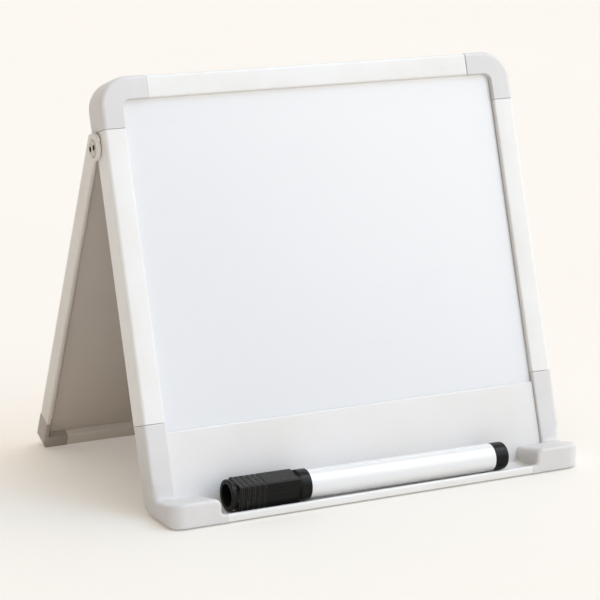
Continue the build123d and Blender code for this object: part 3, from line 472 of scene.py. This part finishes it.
NODES_IN_FINISH = {
    "upright_rail": ["front_left_rail", "front_right_rail"],
    "cross_rail": ["front_top_rail", "front_tray_rail"],
    "moulding": ["front_corner_top_left", "front_corner_top_right",
                 "front_corner_bottom_left", "front_corner_bottom_right"],
    "band": ["lower_band"],
    "writing_face": ["front_board_sheet"],
    "rear_rail": ["rear_left_rail", "rear_right_rail"],
    "rear_cross_rail": ["rear_top_rail", "rear_bottom_rail"],
    "rear_moulding": ["rear_corner_left", "rear_corner_right"],
    "rear_face": ["rear_board_sheet"],
    "backing": ["front_board_backing", "rear_board_backing"],
    "pressed_board": ["front_board_core", "rear_board_core"],
    "screw": ["hinge_screw_left", "hinge_screw_right"],
    "insert": ["hinge_insert_left", "hinge_insert_right"],
    "washer": ["hinge_washer_left", "hinge_washer_right"],
    "cap": ["cap_shell", "marker_end_plug", "marker_nib_holder"],
    "barrel": ["marker_barrel"],
    "nib": ["marker_nib"],
    "wadding": ["marker_ink_reservoir"],
    "felt": ["cap_eraser_felt"],
}
FINISH_OF = {node: finish for finish, nodes in NODES_IN_FINISH.items() for node in nodes}


def coat_nodes():
    """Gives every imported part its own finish."""
    for node, finish in FINISH_OF.items():
        mesh = frame["nodes"][node].data
        mesh.materials.clear()
        mesh.materials.append(FINISHES[finish])


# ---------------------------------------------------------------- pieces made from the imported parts
SAME_POINT = 0.002 * MM         # points closer than this are one


def home_of(node):
    """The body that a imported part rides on."""
    for body, members in frame["record"]["behaviour"]["bodies"].items():
        if node in members:
            return body


def place_piece(piece, node):
    """Links a new piece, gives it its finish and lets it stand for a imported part."""
    bpy.context.scene.collection.objects.link(piece)
    piece.data.materials.clear()
    piece.data.materials.append(FINISHES[FINISH_OF[node]])
    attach(piece, home_of(node))
    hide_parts(node)
    return piece


def merged_shape(node):
    """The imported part's own surface with its triangles joined and its flats whole."""
    shape = bmesh.new()
    shape.from_mesh(frame["nodes"][node].data)
    bmesh.ops.remove_doubles(shape, verts=shape.verts, dist=SAME_POINT)
    bmesh.ops.dissolve_limit(shape, angle_limit=radians(0.6), verts=shape.verts, edges=shape.edges)
    return shape


def mesh_of(shape, name):
    """New mesh with a shape in it."""
    mesh = bpy.data.meshes.new(name)
    shape.to_mesh(mesh)
    shape.free()
    return mesh


FOOT_LIFT = 0.55 * MM           # the front edge stands this far off the desk
LIFT_RUN = 12.0 * MM            # the lift fades over this distance from the outer edges
LIFT_HEIGHT = 2.4 * MM          # and over this height above the desk


def lift_front_edge(shape):
    """Raises the lower front and outer edges a little, so that the part stands on what lies behind."""
    for vert in shape.verts:
        from_edge = min(vert.co.y - FRONT_EDGE, OUTER_HALF - abs(vert.co.x))
        near_edge = max(0, 1 - from_edge / LIFT_RUN)
        near_desk = max(0, 1 - vert.co.z / LIFT_HEIGHT)
        vert.co.z += FOOT_LIFT * near_edge * near_desk


SHARP_FROM = radians(28)        # an edge that turns more than this is eased
EASED_EDGES = {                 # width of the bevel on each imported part, in millimetres
    "front_top_rail": 0.25, "front_left_rail": 0.25, "front_right_rail": 0.25,
    "front_tray_rail": 0.25, "lower_band": 0.15,
    "front_corner_top_left": 0.4, "front_corner_top_right": 0.4,
    "rear_left_rail": 0.25, "rear_right_rail": 0.25, "rear_top_rail": 0.25,
    "rear_bottom_rail": 0.25, "rear_corner_left": 0.4, "rear_corner_right": 0.4,
    "marker_barrel": 0.1, "marker_end_plug": 0.2, "cap_shell": 0.12,
    "hinge_screw_left": 0.08, "hinge_screw_right": 0.08,
}


def eased_piece(node, width):
    """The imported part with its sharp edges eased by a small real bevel."""
    shape = merged_shape(node)
    if node == "front_tray_rail":
        lift_front_edge(shape)
    mesh = mesh_of(shape, node + "_eased")
    mesh.shade_smooth()
    mesh.set_sharp_from_angle(angle=SHARP_FROM)
    piece = place_piece(bpy.data.objects.new(node + "_eased", mesh), node)
    bevel = piece.modifiers.new("eased_edges", "BEVEL")
    bevel.width = width
    bevel.segments = 3
    bevel.limit_method = "ANGLE"
    bevel.angle_limit = SHARP_FROM
    bevel.harden_normals = True


# ---------------------------------------------------------------- soft bottom corner pieces
CORNER_VOXEL = 0.42 * MM
SEAM_FADE = 2.5 * MM            # the smoothing grows over this distance from a corner's upper seam
BRACKET_FADE = 1.5 * MM         # from the end of its bracket
BAND_FADE = 1.5 * MM            # and from the line just ahead of the band
AHEAD_OF_BAND = 0.6 * MM
BESIDE_WINDOW = 0.5 * MM        # past this the band has no edge to keep sharp
BEND_HEIGHT = 5.0 * MM          # the inner bend reaches this far above and below the bracket's top
BEND_FRONT = -6.5 * MM          # and from here, ahead of the panel's face,
BEND_BACK = 1.5 * MM            # to here behind it
EDGE_PASSES = 12                # smoothing of the outer edges
BEND_PASSES = 60                # smoothing of the inner bend


def depth_in_panel(place):
    """How far a point lies behind the plane of the panel's front face."""
    return (place - PANEL_FOOT).dot(INTO_PANEL)


def soft_share(place):
    """How freely a point of a bottom corner piece is smoothed: 0 at its seams, 1 away from them."""
    slope = (place - PANEL_FOOT).dot(UP_SLOPE)
    below_seam = (CORNER_SEAM_SLOPE - slope) / SEAM_FADE
    beyond_bracket = (abs(place.x) - BRACKET_END) / BRACKET_FADE
    ahead_of_band = (BAND_FACE_DEPTH - AHEAD_OF_BAND - depth_in_panel(place)) / BAND_FADE
    if abs(place.x) > WINDOW_HALF + BESIDE_WINDOW:
        ahead_of_band = 1
    return max(0, min(1, below_seam, beyond_bracket, ahead_of_band))


def in_bend(place):
    """True near the inner bend between the arm's face and the bracket's top."""
    beside_top = abs(place.z - BRACKET_TOP) < BEND_HEIGHT
    beside_face = BEND_FRONT < depth_in_panel(place) < BEND_BACK
    return beside_top and beside_face and soft_share(place) >= 1


def smooth_out(shape, verts):
    bmesh.ops.smooth_vert(shape, verts=verts, factor=0.5,
                          use_axis_x=True, use_axis_y=True, use_axis_z=True)


def soft_corner(node):
    """Bottom corner piece with its edges and its inner bend drawn soft, as in a moulding."""
    mesh = mesh_of(merged_shape(node), node + "_soft")
    piece = place_piece(bpy.data.objects.new(node + "_soft", mesh), node)
    bpy.context.view_layer.objects.active = piece
    mesh.remesh_voxel_size = CORNER_VOXEL
    bpy.ops.object.voxel_remesh()
    shape = bmesh.new()
    shape.from_mesh(piece.data)
    for step in range(EDGE_PASSES):
        free = [vert for vert in shape.verts if soft_share(vert.co) * EDGE_PASSES > step]
        smooth_out(shape, free)
    bend = [vert for vert in shape.verts if in_bend(vert.co)]
    for _ in range(BEND_PASSES):
        smooth_out(shape, bend)
    lift_front_edge(shape)
    shape.to_mesh(piece.data)
    shape.free()
    piece.data.shade_smooth()


# ---------------------------------------------------------------- turned pieces of the marker
# Each outline is a list of (radius, distance from the ring end) in millimetres.
FELT_OUTLINE = [(0, 4.25), (0.8, 4.26), (1.6, 4.28), (2.4, 4.32), (3.2, 4.4), (3.9, 4.52),
                (4.45, 4.72), (4.8, 5.05), (4.93, 5.5), (4.93, 6.7), (4.93, 8.0), (0, 8.0)]
NIB_OUTLINE = [(0, 17.35), (0.55, 17.42), (1.05, 17.68), (1.45, 18.15), (1.7, 18.8), (1.83, 19.7),
               (1.88, 20.8), (1.88, 23.2), (1.88, 32.2), (0, 32.2)]
TURNING_STEPS = 72
LUMP = 0.7 * MM                 # width of the unevenness of felt


def turned_piece(name, node, outline, unevenness):
    """Piece turned about the marker's axis, with a slightly uneven face."""
    shape = bmesh.new()
    corners = [shape.verts.new((radius * MM, 0, station * MM)) for radius, station in outline]
    edges = [shape.edges.new(pair) for pair in zip(corners, corners[1:])]
    bmesh.ops.spin(shape, geom=corners + edges, cent=(0, 0, 0), axis=(0, 0, 1), angle=2 * pi,
                   steps=TURNING_STEPS, use_merge=True)
    bmesh.ops.remove_doubles(shape, verts=shape.verts, dist=SAME_POINT)
    bmesh.ops.recalc_face_normals(shape, faces=shape.faces)
    along = Vector((cos(MARKER_SLOPE), 0, -sin(MARKER_SLOPE)))
    back = Vector((0, 1, 0))
    turn = Matrix((back, along.cross(back), along)).transposed().to_4x4()
    bmesh.ops.transform(shape, matrix=Matrix.Translation(RING_END) @ turn, verts=shape.verts)
    for vert in shape.verts:
        vert.co += vert.normal * unevenness * noise.noise(vert.co / LUMP)
    mesh = mesh_of(shape, name)
    mesh.shade_smooth()
    mesh.set_sharp_from_angle(angle=radians(45))
    place_piece(bpy.data.objects.new(name, mesh), node)


# ---------------------------------------------------------------- floor and light
FLOOR_HALF = 6.0
# Painted light: the paper glows a little where it is seen, which lightens the object's shadow on it.
FLOOR_GLOW_SHARE = 0.2                # share of the paper's own brightness, which lightens the shadow
SKY_BRIGHT = (1.42, 1.30, 1.18, 1.0)     # light from the window's side
SKY_DULL = (0.02, 0.02, 0.02, 1.0)       # light from the room's far side
SKY_BRIGHT_FROM = Vector((0.85, 0.0, 0.50)).normalized()
KEY_LEVEL = 0.26
KEY_FROM = Vector((0.42, -0.50, 0.76))
KEY_SOFTNESS = radians(40)
KEY_COLOUR = (0.12, 0.54, 1.0)
# Bright things that glossy surfaces mirror: the direction, the cosines of the angles from it
# at which the patch begins and is full, and the brightness.
MIRRORED = [(Vector((0.72, -0.40, 0.57)).normalized(), 0.80, 0.90, 2.3),
            (Vector((0.44, -0.23, 0.87)).normalized(), 0.965, 0.988, 4.0)]


def seen_rays(tree):
    """1 for what the camera sees straight, in gloss or through glass, and 0 for light."""
    path = add(tree, "ShaderNodeLightPath").outputs
    near = calculate(tree, "MAXIMUM", path["Is Camera Ray"], path["Is Glossy Ray"])
    return calculate(tree, "MAXIMUM", near, path["Is Transmission Ray"])


def mixed_shaders(tree, share, first, second):
    """Shader between two: the second takes the share."""
    return add(tree, "ShaderNodeMixShader", None, {0: share, 1: first, 2: second}).outputs["Shader"]


def make_floor():
    """Wide pale paper that keeps the object's shadow, lightened by a painted glow seen by the camera and
    in reflections.
    """
    shape = bmesh.new()
    bmesh.ops.create_grid(shape, x_segments=2, y_segments=2, size=FLOOR_HALF)
    floor = bpy.data.objects.new("floor", mesh_of(shape, "floor"))
    bpy.context.scene.collection.objects.link(floor)
    made, tree, shader = surface("floor_paper")
    drift = clouds(tree, object_place(tree), scale=3, detail=2)
    fill(tree, shader, {"Base Color": colour_mix(tree, FLOOR_WARM, FLOOR_COOL, drift),
                        "Roughness": 0.9, "Specular IOR Level": 0.1})
    # Painted glow of the paper.
    painted_glow = add(tree, "ShaderNodeEmission", None, {"Color": FLOOR_WARM, "Strength": 1.0})
    share = calculate(tree, "MULTIPLY", seen_rays(tree), FLOOR_GLOW_SHARE)
    paper = mixed_shaders(tree, share, shader.outputs["BSDF"], painted_glow.outputs["Emission"])
    fill(tree, tree.nodes["Material Output"], {"Surface": paper})
    floor.data.materials.append(made)


def mirrored_light(tree, facing, direction, begins, full, brightness):
    """Patch of extra brightness round a direction."""
    toward = alignment(tree, facing, direction)
    return ranged(tree, toward, low=begins, high=full, top=brightness, curve="SMOOTHSTEP")


def light_scene():
    """Even sky that is brighter to the right, and one soft key from the right and front."""
    world = bpy.data.worlds.new("studio")
    bpy.context.scene.world = world
    world.use_nodes = True
    tree = world.node_tree
    facing = add(tree, "ShaderNodeTexCoord").outputs["Generated"]
    toward = alignment(tree, facing, SKY_BRIGHT_FROM)
    share = ranged(tree, toward, low=-1.0, high=1.0, curve="SMOOTHSTEP")
    lit = tree.nodes["Background"]
    fill(tree, lit, {"Color": colour_mix(tree, SKY_DULL, SKY_BRIGHT, share)})
    mirrored = [mirrored_light(tree, facing, *patch) for patch in MIRRORED]
    in_gloss = add(tree, "ShaderNodeLightPath").outputs["Is Glossy Ray"]
    backdrop_strength = 1.0
    strength = calculate(tree, "MULTIPLY_ADD", calculate(tree, "ADD", *mirrored), in_gloss,
                         backdrop_strength)
    seen = add(tree, "ShaderNodeBackground", None, {"Color": FLOOR_WARM, "Strength": strength})
    sky = mixed_shaders(tree, seen_rays(tree), lit.outputs["Background"], seen.outputs["Background"])
    fill(tree, tree.nodes["World Output"], {"Surface": sky})

    key = bpy.data.lights.new("key", "SUN")
    key.energy = KEY_LEVEL * pi
    key.angle = KEY_SOFTNESS
    key.color = KEY_COLOUR
    lamp = bpy.data.objects.new("key", key)
    lamp.rotation_euler = KEY_FROM.to_track_quat("Z", "Y").to_euler()
    bpy.context.scene.collection.objects.link(lamp)


# ---------------------------------------------------------------- camera
CAMERA_AT = (-0.47701, -0.92525, 0.31191)
CAMERA_TURN = radians(27.124)   # from straight back, towards +X
CAMERA_DIP = radians(12.977)    # below level
CAMERA_ROLL = radians(-0.092)
SENSOR_WIDTH = 36
PICTURE_PIXELS = 600            # the picture's width
FOCAL_PIXELS = 2388.8           # the focal length in the same unit


def make_camera():
    """Camera to the left and front of the easel, a little above it."""
    turn, dip, roll = CAMERA_TURN, CAMERA_DIP, CAMERA_ROLL
    ahead = Vector((sin(turn) * cos(dip), cos(turn) * cos(dip), -sin(dip)))
    right = Vector((cos(turn), -sin(turn), 0))
    up = right.cross(ahead)
    across = cos(roll) * right + sin(roll) * up
    upward = cos(roll) * up - sin(roll) * right
    lens = bpy.data.cameras.new("camera")
    lens.sensor_width = SENSOR_WIDTH
    lens.lens = FOCAL_PIXELS / PICTURE_PIXELS * SENSOR_WIDTH
    lens.clip_start = 0.01
    lens.clip_end = 50
    camera = bpy.data.objects.new("camera", lens)
    turned = Matrix((across, upward, -ahead)).transposed().to_4x4()
    camera.matrix_world = Matrix.Translation(CAMERA_AT) @ turned
    bpy.context.scene.collection.objects.link(camera)
    bpy.context.scene.camera = camera


# ---------------------------------------------------------------- the scene
make_camera()
light_scene()
make_floor()
coat_nodes()
for eased_node, eased_width in EASED_EDGES.items():
    eased_piece(eased_node, eased_width * MM)
for corner_node in ("front_corner_bottom_left", "front_corner_bottom_right"):
    soft_corner(corner_node)
turned_piece("cap_eraser_pad", "cap_eraser_felt", FELT_OUTLINE, unevenness=0.06 * MM)
turned_piece("marker_writing_tip", "marker_nib", NIB_OUTLINE, unevenness=0.02 * MM)

bpy.context.scene.view_settings.view_transform = "Standard"
